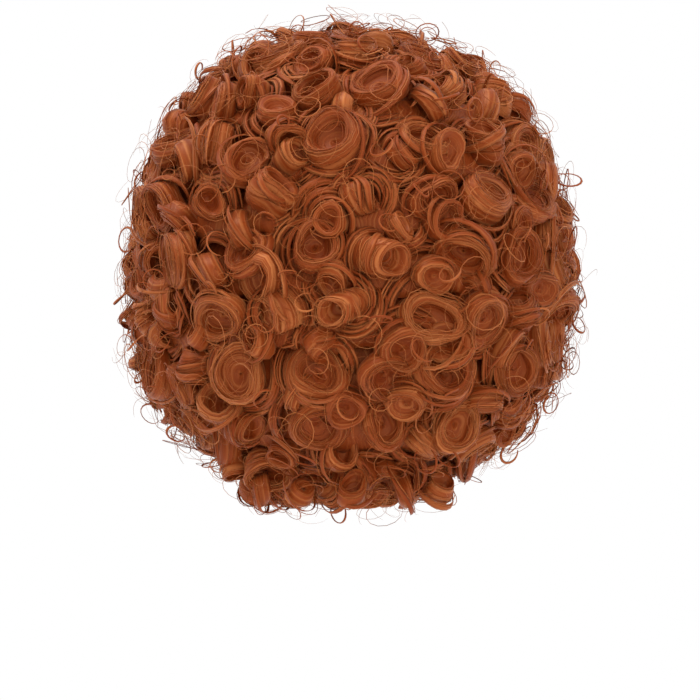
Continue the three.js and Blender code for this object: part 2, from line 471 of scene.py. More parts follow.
# %% [markdown]
# ## Small curls
#
# Between big curls a wig has small ones, and along its edges they turn in and hide where a weft ends.
# More big curls would swell the outline, so small ones go just where the gaps are: between a row and
# the row below, under a row's open edge, and at its two ends.

# %% Places for small curls
GAP_STEP = (0.6, 1.4)
GAP_RISE = (-1.0, 4.0)
EDGE_SPACING = 8.0
EDGE_RISE = (-1.5, 2.0)
EDGE_DEPTH = (0.3, 0.9)
END_LEAN = 9.0
END_CURLS = 4
END_INSET = 2
END_CURL_DEPTH = (0.15, 0.4)
END_CURL_STEP = 0.5
END_OUT = 7
END_IN = 10
END_STRAY = 1


def next_half_span(row):
    """How far the row below reaches round. An edge beyond that is open, and the last row's all is."""
    return WEFTS[row + 1]["half_span"] if row + 1 < len(WEFTS) else -END_LEAN


def gap_places(row):
    """Places between the curls of a row and the row below: row, polar angle, turn and depth."""
    half_span = WEFTS[row]["half_span"]
    _, _, turn = row_places(row)
    turn = turn[1:] if row == 0 else turn
    turn = turn + half_span / len(turn) * draw(*GAP_STEP, len(turn))
    polar = row_limits(row)[1] - draw(*GAP_RISE, len(turn))
    keep = (np.abs(turn) < half_span) | (half_span == HALF_TURN)
    return np.stack([np.full(len(turn), row), polar, turn, np.ones(len(turn))], axis=-1)[keep]


def face_places(row):
    """Places along the open edges: under the row's own edge, and at its two ends."""
    top, bottom = row_limits(row)
    half_span = WEFTS[row]["half_span"]
    edge = np.arange(max(next_half_span(row), 0) + EDGE_SPACING / 2, half_span, EDGE_SPACING)
    rise = draw(*EDGE_RISE, len(edge))
    edge = np.stack([bottom - rise, edge, draw(*EDGE_DEPTH, len(edge))], axis=-1)
    end = np.linspace(top + END_INSET, bottom - END_INSET, END_CURLS)
    depth = draw(*END_CURL_DEPTH, END_CURLS) + END_CURL_STEP * (np.arange(END_CURLS) % 2)
    end_turn = half_span + END_OUT - END_IN * depth + either_way(END_STRAY, END_CURLS)
    end = np.stack([end, end_turn, depth], axis=-1)
    one_side = np.concatenate([edge, end if half_span < HALF_TURN else end[:0]])
    both = np.concatenate([one_side, one_side * [1, -1, 1]])
    return np.concatenate([np.full((len(both), 1), row), both], axis=1)


small_places = np.concatenate(
    [places(row) for row in range(len(WEFTS)) for places in (gap_places, face_places)]
)
print("places for small curls:", len(small_places))

# %% The small curls
EDGE_TURN = 80
SMALL_LEAN = (5, 85)
SMALL_RADIUS = (0.5, 0.85)
SMALL_HEIGHT = (0.75, 1.05)
SMALL_PIN_SHARE = 0.4


def small_curls(row, polar, turn, depth):
    """Small curls at any lean. The nearer the hair's inside a place lies, the more its curl turns to
    the front."""
    count = len(row)
    way = toward(polar, turn)
    to_front = np.radians(EDGE_TURN * (1 - depth) * np.sign(turn))
    facing = turned(hair_facing(way), UP, -to_front)
    foot = hair_inside(way) + depth * (under_hair_outside(way) - hair_inside(way))
    return curl_shape(
        weft=row.astype(int),
        foot=at_distance(way, foot),
        normal=turned(egg_normal(HAIR, way), UP, -to_front),
        axis=leaning(facing, draw(*SMALL_LEAN, count)),
        radius=room_for(polar) * CURL_RADIUS * draw(*SMALL_RADIUS, count),
        height=room_for(polar) * CURL_HEIGHT * draw(*SMALL_HEIGHT, count),
        pin=rng.random(count) < SMALL_PIN_SHARE,
    )


curl_sizes["small"] = small_curls(*small_places.T)
print("small curls:", len(curl_sizes["small"]["weft"]))

# %% [markdown]
# ## The body of a curl
#
# Hair wound on a roller makes a round body: an outer wall, a rim where the layers end, and a funnel
# that winds down to the middle. Hairs alone would need to be very many to close it, so each curl has
# a body, a profile turned about the curl's axis, with its layers raised as a spiral. Its colour is
# painted darker deep in the funnel and under the body, as painted shade, and lighter on the rim, as a
# painted highlight.

# %% The profile of a curl
PROFILE_RADIUS = np.array([0.03, 0.5, 0.84, 1.0, 1.06, 1.05, 1.0, 0.9, 0.78, 0.34, 0.0, 0.0, 0.03])
PROFILE_HOLE = np.array([0.0, 0.0, 0.0, 0.0, 0.0, 0.0, 0.0, 0.0, 0.0, 0.52, 1.0, 0.62, 0.0])
PROFILE_HEIGHT = np.array([0.1, 0.06, 0.02, 0.08, 0.36, 0.66, 0.9, 1.0, 1.0, 1.0, 1.0, 1.0, 1.0])
PROFILE_DISH = np.array([0.0, 0.0, 0.0, 0.0, 0.0, 0.0, 0.0, 0.0, 0.06, 0.3, 0.62, 0.78, 0.8])
PROFILE_BASE = np.array([1.0, 0.75, 0.2, 0.0, 0.0, 0.0, 0.0, 0.0, 0.0, 0.0, 0.0, 0.0, 0.0])
PROFILE_KNOTS = np.linspace(0, 1, len(PROFILE_RADIUS))
SLOPE_STEP = 0.03
LEAST_SLOPE = 1e-6
LAYER_RELIEF = 0.03
LAYER_UNEVEN = 0.9
LUMP = 0.07
LUMPS_ROUND = 3
LUMP_TWIST = 6
RIM_TILT = 0.12


def along_profile(values, s):
    """Values given at the profile's knots, read at places s along it."""
    return np.interp(s, PROFILE_KNOTS, values)


def profile(curl, s):
    """The radius and height of curls' profiles at places s, with each curl's own hole and depth of
    dish, and a hollow base under a roll."""
    radius = along_profile(PROFILE_RADIUS, s) + curl["hole"] * along_profile(PROFILE_HOLE, s)
    height = along_profile(PROFILE_HEIGHT, s) + curl["base"] * along_profile(PROFILE_BASE, s)
    return radius, height - curl["dish"] * along_profile(PROFILE_DISH, s)


def from_axis(curl, theta):
    """The way out from curls' axes at a turn: its cosine and sine along the curl's two side axes."""
    return np.cos(theta)[..., None] * curl["first"] + np.sin(theta)[..., None] * curl["second"]


def on_body(curl, s, theta):
    """A point on curl bodies and the way the body faces there. The profile's radius and height at s
    are turned about the axis by theta. The ring is oval and lumpy, and the ends of a roll bend
    inwards. The facing is the profile's slope, turned outwards, and along it the layers rise as a
    spiral: a wave of s less the turn."""
    radius, height = profile(curl, s)
    radius_before, height_before = profile(curl, s - SLOPE_STEP)
    radius_after, height_after = profile(curl, s + SLOPE_STEP)
    slope_r = radius_after - radius_before
    slope_h = height_after - height_before
    length = np.maximum(np.hypot(slope_r, slope_h), LEAST_SLOPE)
    lumps = np.sin(LUMPS_ROUND * theta + LUMP_TWIST * s + 2 * curl["phase"])
    ring = 1 + curl["oval"] * np.cos(2 * theta + curl["phase"]) + LUMP * lumps
    tilt = RIM_TILT * np.sin(theta + 3 * curl["phase"]) * radius
    radial = from_axis(curl, theta)
    place = (
        curl["middle"]
        + radial * (curl["radius"] * ring * radius)[..., None]
        + curl["axis"] * (curl["height"] * (height - 0.5 + tilt))[..., None]
        - curl["normal"] * (curl["bend"] * (2 * height - 1) ** 2)[..., None]
    )
    facing = radial * (slope_h / length)[..., None] - curl["axis"] * (slope_r / length)[..., None]
    uneven = curl["phase"] + LAYER_UNEVEN * np.sin(2 * theta + 2 * curl["phase"])
    layer = np.sin(CIRCLE * curl["layers"] * s - curl["hand"] * theta + uneven)
    return place + facing * (LAYER_RELIEF * curl["radius"] * layer)[..., None], facing


print("knots of the profile:", len(PROFILE_KNOTS))

# %% The bodies of the curls
# Painted light along the profile: darker under the body and deep in the funnel as painted shade, lighter
# on the rim as a painted highlight.
PROFILE_PAINTED_LIGHT_AND_SHADE = np.array(
    [-0.1, -0.1, -0.04, 0.06, 0.14, 0.16, 0.16, 0.14, 0.08, -0.04, -0.18, -0.26, -0.26]
)
PROFILE_LENGTH = 2.4
BODY_GRIDS = {"big": (24, 17), "small": (16, 12)}


def widened(curl, axes):
    """A curl table with empty axes put in after the first, to match arrays of points."""
    return {key: np.expand_dims(value, tuple(range(1, 1 + axes))) for key, value in curl.items()}


def curl_bodies(curl, grid):
    """The bodies of some curls as closed meshes, a grid round the axis and along the profile."""
    around, along = grid
    count = len(curl["weft"])
    turns = np.linspace(0, CIRCLE, around, endpoint=False)[:, None]
    theta = np.broadcast_to(turns, (count, around, along))
    s = np.broadcast_to(np.linspace(0, 1, along), (count, around, along))
    wide = widened(curl, 2)
    points, _ = on_body(wide, s, theta)
    here = np.arange(count * around * along).reshape(count, around, along)
    after = np.roll(here, -1, axis=1)
    quads = np.stack([here, after, np.roll(after, -1, axis=2), np.roll(here, -1, axis=2)], axis=-1)
    reach = wide["radius"] * np.ones_like(s)
    place_across = PROFILE_LENGTH * s * reach + wide["tone"] * TONE_APART
    flow = np.stack([place_across, reach * np.cos(theta), reach * np.sin(theta)], axis=-1)
    return {
        "points": points.reshape(-1, 3),
        "corners": quads.ravel(),
        "totals": np.full(quads.size // 4, 4),
        "flow": flow.reshape(-1, 3),
        # the body's tone adds the profile's painted shade in the funnel and painted highlight on the rim
        "tone": np.clip(wide["tone"] + along_profile(PROFILE_PAINTED_LIGHT_AND_SHADE, s), 0, 1).ravel(),
    }


print("grids of a big and a small curl:", BODY_GRIDS["big"], BODY_GRIDS["small"])

# %% [markdown]
# ## Locks on the curls
#
# On the body lie the locks that make it read as hair. They wind inwards along it, sway on and off it
# and lift away at their ends, so that no two curls look alike. Fine hairs stand higher over the rim.
# A texture alone would leave the curl's edge smooth, so the locks are real ribbons.

# %% How a lock swings and tapers
PHASES = (0, 6.3)
LOCK_ROOT = {"blunt": 0.03, "length": 0.2, "power": 0.7}
LOCK_TIP = {"blunt": 0.03, "length": 0.25, "power": 0.7}


def spread_over(table, count):
    """Each row of a table repeated for the ribbons that it carries."""
    return {key: np.repeat(value, count, axis=0) for key, value in table.items()}


def swinging(rate, count, t):
    """A sine along each hair, with its own rate and phase."""
    return np.sin(draw(*rate, (count, 1)) * t + draw(*PHASES, (count, 1)))


def at_root(t, root):
    """The share of its width that a hair has near its root: the way from it plus the blunt end, over
    the length that it widens in, to a power, and one at most."""
    return np.minimum(1, (t + root["blunt"]) / root["length"]) ** root["power"]


def at_tip(t, tip):
    """The same share near the other end."""
    return np.minimum(1, (1 + tip["blunt"] - t) / tip["length"]) ** tip["power"]


print("width left at a lock's ends:", round(at_root(0, LOCK_ROOT), 2), round(at_tip(1, LOCK_TIP), 2))

# %% The locks on the curls
LYING_LOCK = {
    "place": (0.26, 0.78), "inward": (0.02, 0.22), "turns": (0.5, 1.15), "lift": (0.03, 0.35),
    "tone": (-0.16, 0.24),
}
# Rim hairs vary in tone at random, and being only ever lighter than their curl is a painted highlight on
# the ring strands.
RIM_HAIR = {
    "place": (0.46, 0.7), "inward": (-0.04, 0.1), "turns": (0.7, 1.3), "lift": (0.3, 2.0),
    "half_width": (0.14, 0.34), "tone": (0.0, 0.34),
}
LOCKS = [
    {**LYING_LOCK, "size": "big", "count": 14, "steps": 16, "half_width": (0.15, 0.55)},
    {**LYING_LOCK, "size": "small", "count": 5, "steps": 12, "half_width": (0.15, 0.5)},
    {**RIM_HAIR, "size": "big", "count": 4, "steps": 18},
    {**RIM_HAIR, "size": "small", "count": 1, "steps": 14},
]
ROLL_SHIFT = 0.26
PIN_SHIFT = 0.1
LAST_PLACE = 0.985
SEEN_SPREAD = 1.2
SWAY = 0.8
SWAY_RATE = (2, 8)
END_LIFT = 2.0
END_LIFT_POWER = 5
LOCK_THICKNESS = 0.28 * MM


def body_locks(kind):
    """Locks on the bodies: each starts at a place along the profile and winds on towards the middle
    as it turns. On a roll it lies on the side that is seen."""
    table = spread_over(curl_sizes[kind["size"]], kind["count"])
    count = len(table["weft"])
    t = np.linspace(0, 1, kind["steps"])
    shift = np.where(table["pin"], PIN_SHIFT, -ROLL_SHIFT) * rng.random(count)
    start = draw(*kind["place"], (count, 1)) + shift[:, None]
    s = np.minimum(start + draw(*kind["inward"], (count, 1)) * t, LAST_PLACE)
    outward = np.arctan2(dot(table["normal"], table["second"]), dot(table["normal"], table["first"]))
    seen = outward + either_way(SEEN_SPREAD, count)
    middle = np.where(table["pin"], draw(0, CIRCLE, count), seen)[:, None]
    wind = table["hand"][:, None] * CIRCLE * draw(*kind["turns"], (count, 1)) * (t - 0.5)
    place, facing = on_body(widened(table, 1), s, middle + wind)
    sway = 1 + SWAY * swinging(SWAY_RATE, count, t) + END_LIFT * np.abs(2 * t - 1) ** END_LIFT_POWER
    lift = draw(*kind["lift"], (count, 1)) * MM * sway
    paths = place + facing * lift[..., None]
    taper = at_root(t, LOCK_ROOT) * at_tip(t, LOCK_TIP)
    half_width = draw(*kind["half_width"], (count, 1)) * MM * taper
    # each lock takes on the profile's painted shade in the funnel and painted highlight on the rim
    tone = table["tone"] + along_profile(PROFILE_PAINTED_LIGHT_AND_SHADE, s.mean(axis=1))
    return hair_set(
        table["weft"], paths, lie_flat(paths, facing), half_width,
        half_thick=np.minimum(half_width, LOCK_THICKNESS),
        tone=np.clip(tone + draw(*kind["tone"], count), 0, 1),
        section=HAIR_SECTION,
    )


ribbon_sets = [body_locks(kind) for kind in LOCKS]
print("locks on the curls:", sum(len(s["weft"]) for s in ribbon_sets))

# %% [markdown]
# ## Bands that sweep into the curls
#
# The hair of a curl comes from somewhere: a lock climbs out of the under-hair, runs in along a wide
# bend and wraps round the curl. A hand-drawn curve for each would take days, so its path is a ring
# whose radius flares and whose height drops in the lead-in. In the lead-in of a pin curl the band
# lies flat on the hair, and in the ring it stands on edge, tipped like a funnel.

# %% The paths of the bands
SWEEP = {"turns": (0.3, 0.7), "cone": (10, 50)}
BANDS = [
    {**SWEEP, "size": "big", "count": 2, "steps": 22, "radius": (1.0, 1.2), "lead": (2.2, 3.6),
     "flare": (0.1, 0.5), "half_width": (1.2, 3.0)},
    {**SWEEP, "size": "small", "count": 1, "steps": 20, "radius": (1.05, 1.5), "lead": (2.2, 3.4),
     "flare": (0.15, 0.6), "half_width": (0.9, 2.2)},
]
BAND_LEVEL = (0.05, 0.4)
BAND_DROP = (0.45, 0.95)
WOUND_SHRINK = 0.3
WOUND_SINK = 0.25
ROOT_STRAY = 0.5


def ease(x):
    """A smooth step from 0 to 1: three times the square less twice the cube."""
    x = np.clip(x, 0, 1)
    return x * x * (3 - 2 * x)


def band_paths(kind, table):
    """Paths of bands round curls and the way they face. The angle runs from minus the lead to the
    turns. The ring's radius flares in the lead and shrinks a little in the turns, and its height
    climbs in the lead and then sinks."""
    each = (len(table["weft"]), 1)
    curl = widened(table, 1)
    lead = draw(*kind["lead"], each)
    turns = CIRCLE * draw(*kind["turns"], each)
    angle = -lead + (lead + turns) * np.linspace(0, 1, kind["steps"])
    climb = ease(1 + angle / lead)
    wound = np.clip(angle / turns, 0, 1)
    flare = draw(*kind["flare"], each) * (1 - climb) ** 2
    ring = curl["radius"] * draw(*kind["radius"], each) * (1 + flare)
    ring = ring * (1 - draw(0, WOUND_SHRINK, each) * wound)
    sunk = draw(*BAND_DROP, each) * (1 - climb)
    height = curl["height"] * (draw(*BAND_LEVEL, each) - sunk - WOUND_SINK * wound)
    inward = np.arctan2(-dot(curl["normal"], curl["second"]), -dot(curl["normal"], curl["first"]))
    rooted = inward + curl["hand"] * lead + either_way(ROOT_STRAY, each)
    theta = np.where(curl["pin"], draw(0, CIRCLE, each), rooted) + curl["hand"] * angle
    radial = from_axis(curl, theta)
    paths = curl["middle"] + radial * ring[..., None] + curl["axis"] * height[..., None]
    cone = (np.radians(draw(*kind["cone"], each)) * climb)[..., None]
    rolled = radial * np.cos(cone) + curl["axis"] * np.sin(cone)
    flat = (dot(curl["axis"], curl["normal"]) ** 2 * (1 - climb))[..., None]
    return paths, rolled * (1 - flat) + curl["normal"] * flat


print("kinds of band:", len(BANDS))

# %% The bands and their hairs
BAND_FLATNESS = 0.22
BAND_TONE = (-0.14, 0.22)
BAND_ROOT = {"blunt": 0.03, "length": 0.35, "power": 0.7}
BAND_TIP = {"blunt": 0.01, "length": 0.6, "power": 0.8}
BAND_HAIR = {
    "place": (-1.3, 1.3), "drift": (0.0, 0.5), "drift_rate": (2, 7), "lift": (0.5, 1.4),
    "lift_rate": (2, 9), "half_width": (0.16, 0.3), "flatness": 0.8, "tone": (-0.15, 0.4),
}
BAND_HAIR_ASIDE = 0.5 * MM


def sweeping_bands(kind):
    """The bands of one kind, wide in the middle, and the hairs that run along them."""
    table = spread_over(curl_sizes[kind["size"]], kind["count"])
    count = len(table["weft"])
    paths, facing = band_paths(kind, table)
    t = np.linspace(0, 1, kind["steps"])
    taper = at_root(t, BAND_ROOT) * at_tip(t, BAND_TIP)
    half_width = draw(*kind["half_width"], (count, 1)) * MM * taper
    bands = hair_set(
        table["weft"], paths, lie_flat(paths, facing), half_width,
        half_thick=BAND_FLATNESS * half_width,
        tone=np.clip(table["tone"] + draw(*BAND_TONE, count), 0, 1),
        section=LOCK_SECTION,
    )
    return bands, band_hairs(bands, t)


def band_hairs(bands, t):
    """One hair along each band: its path plus a place across it and a lift off it, both drifting."""
    count = len(bands["weft"])
    each = (count, 1)
    place = draw(*BAND_HAIR["place"], each)
    drift = draw(*BAND_HAIR["drift"], each)
    place = place + drift * np.sin(draw(*BAND_HAIR["drift_rate"], each) * t)
    lift = draw(*BAND_HAIR["lift"], each) * MM
    lift = lift * (1 + swinging(BAND_HAIR["lift_rate"], count, t))
    paths = (
        bands["paths"]
        + bands["across"] * (place * (bands["half_width"] + BAND_HAIR_ASIDE))[..., None]
        + bands["out"] * lift[..., None]
    )
    half_width = draw(*BAND_HAIR["half_width"], each) * MM * np.ones(len(t))
    return hair_set(
        bands["weft"], paths, (bands["out"], bands["across"]), half_width,
        half_thick=half_width * BAND_HAIR["flatness"],
        tone=np.clip(bands["tone"] + draw(*BAND_HAIR["tone"], count), 0, 1),
        section=HAIR_SECTION,
    )


ribbon_sets += [ribbon for kind in BANDS for ribbon in sweeping_bands(kind)]
print("with the bands:", sum(len(s["weft"]) for s in ribbon_sets))

# %% [markdown]
# ## Waves between the curls
#
# Where no curl stands, the hair runs on in flat waves. Waves all over would mostly be hidden, so an
# even grid of places is searched for those that lie farthest from any curl. At each a bundle of waves
# sweeps as an arc round the nearest curl, a little above the under-hair, as combed hair does.

# %% The open places
PLACE_SPACING = 4.5
PLACE_HEIGHT = 8 * MM
TOP_POLAR = 36.0
TOP_FAVOUR = 3 * MM
WAVE_BUNDLES = 240


def place_grid():
    """An even grid over the wefts, in degrees: the row, polar angle and turn of each place."""
    places = []
    for row, weft in enumerate(WEFTS):
        top, bottom = row_limits(row)
        for polar in np.arange(top + PLACE_SPACING / 2, bottom, PLACE_SPACING):
            steps = int(2 * weft["half_span"] * np.sin(np.radians(polar)) / PLACE_SPACING) + 1
            turn = np.linspace(-weft["half_span"], weft["half_span"], steps, endpoint=False)
            places.append(np.stack([np.full(steps, row), np.full(steps, polar), turn]))
    return np.concatenate(places, axis=1)


def open_places(number):
    """The places where the hair lies most open: those of the grid that are farthest from any curl,
    by the distance to its middle less its radius. Each keeps the way to the nearest curl, in degrees
    down and sideways. The top is favoured, where the curls stand apart."""
    row, polar, turn = place_grid()
    way = toward(polar, turn)
    level = under_hair_outside(way) + PLACE_HEIGHT
    points = at_distance(way, level)
    middles = np.concatenate([curl["middle"] for curl in curl_sizes.values()])
    radii = np.concatenate([curl["radius"] for curl in curl_sizes.values()])
    clearance = np.linalg.norm(points[:, None] - middles, axis=-1) - radii
    to_curl = np.degrees((middles[np.argmin(clearance, axis=1)] - points) / level[:, None])
    places = {
        "weft": row.astype(int),
        "polar": polar,
        "turn": turn,
        "down": dot(to_curl, toward(polar + QUARTER_TURN, turn)),
        "side": dot(to_curl, toward(QUARTER_TURN, turn + QUARTER_TURN)),
    }
    openness = np.min(clearance, axis=1) + np.where(polar < TOP_POLAR, TOP_FAVOUR, 0)
    open_most = np.argsort(-openness)[:number]
    return {key: value[open_most] for key, value in places.items()}


wave_places = open_places(WAVE_BUNDLES)
print("open places:", len(wave_places["weft"]))

# %% The flat waves
WAVES_PER_BUNDLE = 6
WAVE_STEPS = 12
WAVE_SPACING = 0.46
WAVE_SWEEP = (1.6, 3.0)
WAVE_MIDDLE = (0.3, 0.7)
WAVE_STRAY = 0.2
ARM_STRAY = 0.5
ARM_GROWTH = 4
WAVE_POLAR = (1, 146)
LEAST_SINE = 0.25
WAVE_LIFT = (7.0, 12.5)
WAVE_LIFT_STRAY = 0.6
WAVE_SINK = 3 * MM
WAVE_LIFT_POWER = 0.7
FLAT_WAVE = {
    "half_width": (0.6, 1.9), "power": 0.8, "blunt": 0.02, "flatness": 0.22, "tone": (0.22, 0.7),
    "section": HAIR_SECTION,
}


def arch(t, power, blunt=0.0):
    """An arch: a power of the half sine, which starts and stops short by the blunt ends."""
    return np.sin(np.pi * (blunt + (1 - 2 * blunt) * t)) ** power


def wave_set(kind, weft, paths, facing, t):
    """Waves of one kind along paths, with their widths arched from end to end."""
    count = len(weft)
    half_width = draw(*kind["half_width"], (count, 1)) * MM * arch(t, kind["power"], kind["blunt"])
    return hair_set(
        weft, paths, lie_flat(paths, facing), half_width,
        half_thick=kind["flatness"] * half_width,
        tone=draw(*kind["tone"], count),
        section=kind["section"],
    )


def shared(low, high):
    """One draw for each bundle, repeated for its waves."""
    return np.repeat(draw(low, high, (WAVE_BUNDLES, 1)), WAVES_PER_BUNDLE, axis=0)


def flat_waves():
    """Flat waves in bundles: arcs round the nearest curl, whose arm grows or shrinks on the way, at
    the under-hair's outside plus a lift that rises in the middle. The waves of a bundle share their
    sweep and lie side by side."""
    table = spread_over(wave_places, WAVES_PER_BUNDLE)
    each = (len(table["weft"]), 1)
    t = np.linspace(0, 1, WAVE_STEPS)
    down = table["down"][:, None]
    side = table["side"][:, None]
    swept = shared(*WAVE_SWEEP) * (t - shared(*WAVE_MIDDLE)) + either_way(WAVE_STRAY, each)
    angle = np.arctan2(-side, -down) + swept
    beside = np.arange(len(down)) % WAVES_PER_BUNDLE - (WAVES_PER_BUNDLE - 1) / 2
    arm = np.hypot(down, side) + WAVE_SPACING * beside[:, None] + either_way(ARM_STRAY, each)
    arm = arm + shared(-ARM_GROWTH, ARM_GROWTH) * (t - 0.5)
    polar = np.clip(table["polar"][:, None] + down + arm * np.cos(angle), *WAVE_POLAR)
    sideways = (side + arm * np.sin(angle)) / np.maximum(np.sin(np.radians(polar)), LEAST_SINE)
    way = toward(polar, table["turn"][:, None] + sideways)
    lift = shared(*WAVE_LIFT) + either_way(WAVE_LIFT_STRAY, each)
    lift = lift * MM * arch(t, WAVE_LIFT_POWER) - WAVE_SINK
    paths = at_distance(way, under_hair_outside(way) + lift)
    return wave_set(FLAT_WAVE, table["weft"], paths, egg_normal(HAIR, way), t)


ribbon_sets.append(flat_waves())
print("flat waves:", len(ribbon_sets[-1]["weft"]))

# %% [markdown]
# ## The inside of the nape
#
# Below the cap the nape shows its inside, where the hair hangs straight down. The bare under-hair
# would look like felt there, so waves lie on it too. They run down, swing sideways and face inwards.

# %% The waves inside the nape
NAPE_WAVES = 64
NAPE_WAVE_STEPS = 10
NAPE_SPAN = 46.0
NAPE_POLAR = (137.0, 150.0)
NAPE_SWING = (1.0, 3.5)
NAPE_SWING_RATE = (3, 7)
NAPE_SLANT = 5
NAPE_LIFT = (0.6, 2.2)
NAPE_LIFT_POWER = 0.5
NAPE_SINK = 0.5 * MM
NAPE_WAVE = {
    "half_width": (0.8, 2.4), "power": 0.6, "blunt": 0.05, "flatness": 0.4, "tone": (0.05, 0.75),
    "section": LOCK_SECTION,
}


def nape_waves():
    """Waves that run down and swing sideways, at the hair's inside less a lift in the middle."""
    each = (NAPE_WAVES, 1)
    t = np.linspace(0, 1, NAPE_WAVE_STEPS)
    swing = draw(*NAPE_SWING, each) * swinging(NAPE_SWING_RATE, NAPE_WAVES, t)
    turn = either_way(NAPE_SPAN, each) + swing + either_way(NAPE_SLANT, each) * t
    way = toward(np.linspace(*NAPE_POLAR, NAPE_WAVE_STEPS), turn)
    lift = draw(*NAPE_LIFT, each) * MM * arch(t, NAPE_LIFT_POWER) - NAPE_SINK
    paths = at_distance(way, hair_inside(way) - lift)
    weft = np.full(NAPE_WAVES, len(WEFTS) - 1)
    return wave_set(NAPE_WAVE, weft, paths, unit(-way * [1, 1, 0]), t)


ribbon_sets.append(nape_waves())
print("waves inside the nape:", len(ribbon_sets[-1]["weft"]))

# %% [markdown]
# ## Loose hairs
#
# A curly wig has a soft outline, because hairs leave the curls: thin ones, small loops of a lock, and
# rings that lie on the hair. A particle system could grow them, but it gives no mesh to export. Each
# is part of a circle from a point among the curls, which stands up or lies down and drifts sideways
# on its way.

# %% The loose hairs
LOOSE_KINDS = [
    # The thin loose hairs get a light tone: painted light, as a glow of light through the fine frizz.
    {"per_curl": 8, "steps": 12, "radius": (4.0, 11.0), "depth": (-1.0, 5.0), "stand": (0.1, 0.6),
     "bow": (0.8, 2.0), "half_width": (0.07, 0.15), "flatness": 0.8, "drift": 7.0, "tone": (0.65, 1.2),
     "section": HAIR_SECTION},
    {"per_curl": 1, "steps": 16, "radius": (3.5, 7.5), "depth": (0.0, 4.0), "stand": (0.4, 0.95),
     "bow": (1.5, 2.15), "half_width": (0.3, 0.9), "flatness": 0.5, "drift": 6.0, "tone": (0.2, 0.8),
     "section": LOCK_SECTION},
    {"per_curl": 2, "steps": 14, "radius": (6.0, 11.0), "depth": (-1.5, 2.5), "stand": (0.05, 0.5),
     "bow": (1.8, 2.3), "half_width": (0.15, 0.4), "flatness": 0.6, "drift": 3.0, "tone": (0.35, 1.05),
     "section": HAIR_SECTION},
]
LOOSE_POLAR_STRAY = 8
LOOSE_TURN_STRAY = 9
LOOSE_POLAR = (0, 148)
LOOSE_START = -0.15 * np.pi
DRIFT_POWER = 1.4
LOOSE_TIP = {"blunt": 0.05, "length": 0.3, "power": 0.5}


def loose_hairs(kind):
    """Loose hairs: from a point among the curls, part of a circle that stands up from the hair by a
    share of its radius and otherwise lies along it, plus a drift across the circle."""
    table = spread_over({key: curls[key] for key in ("weft", "polar", "turn")}, kind["per_curl"])
    count = len(table["weft"])
    polar = np.clip(table["polar"] + either_way(LOOSE_POLAR_STRAY, count), *LOOSE_POLAR)
    way = toward(polar, table["turn"] + either_way(LOOSE_TURN_STRAY, count))
    outward = egg_normal(HAIR, way)
    side, other = side_axes(outward, draw(0, CIRCLE, count))
    base = at_distance(way, egg_radius(HAIR, way) - draw(*kind["depth"], count) * MM)
    radius = (draw(*kind["radius"], count) * MM)[:, None]
    t = np.linspace(0, 1, kind["steps"])
    angle = LOOSE_START + (draw(*kind["bow"], count) * np.pi)[:, None] * t
    stand = draw(*kind["stand"], count)[:, None]
    rise = outward * stand + other * np.sqrt(1 - stand**2)
    through = np.cross(side, rise)
    drift = (either_way(1, count) * kind["drift"] * MM)[:, None] * t**DRIFT_POWER
    paths = (
        base[:, None]
        + rise[:, None] * (radius * (1 - np.cos(angle)))[..., None]
        + side[:, None] * (radius * np.sin(angle))[..., None]
        + through[:, None] * drift[..., None]
    )
    radial = side[:, None] * np.sin(angle)[..., None] - rise[:, None] * np.cos(angle)[..., None]
    tilt = draw(0, np.pi / 2, (count, 1, 1))
    facing = radial * np.cos(tilt) + through[:, None] * np.sin(tilt)
    half_width = draw(*kind["half_width"], count)[:, None] * MM * at_tip(t, LOOSE_TIP)
    return hair_set(
        table["weft"], paths, lie_flat(paths, facing), half_width,
        half_thick=half_width * kind["flatness"],
        tone=draw(*kind["tone"], count),
        section=kind["section"],
    )


loose_sets = [loose_hairs(kind) for kind in LOOSE_KINDS]
ribbon_sets += loose_sets
print("loose hairs:", sum(len(s["weft"]) for s in loose_sets))

# %% [markdown]
# ## The under-hair
#
# Under the curls the hair is a dense mat, combed downwards. It closes the gaps that the curls leave,
# which more ribbons could only do at a great cost. Each weft's mat is a closed wall between the cap
# and the feet of the curls. Like a roof tile, its lower edge lies over the next weft, so that no gap
# shows.

# %% A closed wall
MAT_STEPS_ROUND = 96
MAT_STEPS_DOWN = 9


def wall_mesh(outer, inner, flow, closed_round, tone):
    """A wall as mesh arrays, from grids of points round the wig and down it. The outside and the
    inside make a section loop, with quads between neighbours along it and round the wig. A wall that
    is not closed round the wig has two ends, each a single face."""
    points = np.concatenate([outer, inner[:, ::-1]], axis=1)
    round_steps, loop, _ = points.shape
    grid = np.arange(round_steps * loop).reshape(round_steps, loop)
    here = grid
    after = np.roll(grid, -1, axis=0)
    ends = np.zeros((0, loop), dtype=int)
    if not closed_round:
        here = grid[:-1]
        after = grid[1:]
        ends = np.stack([grid[0, ::-1], grid[-1]])
    quads = np.stack([here, np.roll(here, -1, axis=1), np.roll(after, -1, axis=1), after], axis=-1)
    return {
        "points": points.reshape(-1, 3),
        "corners": np.concatenate([quads.ravel(), ends.ravel()]),
        "totals": np.concatenate([np.full(quads.size // 4, 4), np.full(len(ends), loop)]),
        "flow": np.concatenate([flow, flow[:, ::-1]], axis=1).reshape(-1, 3),
        "tone": np.full(round_steps * loop, tone),
    }


print("points round a mat's section:", 2 * MAT_STEPS_DOWN)

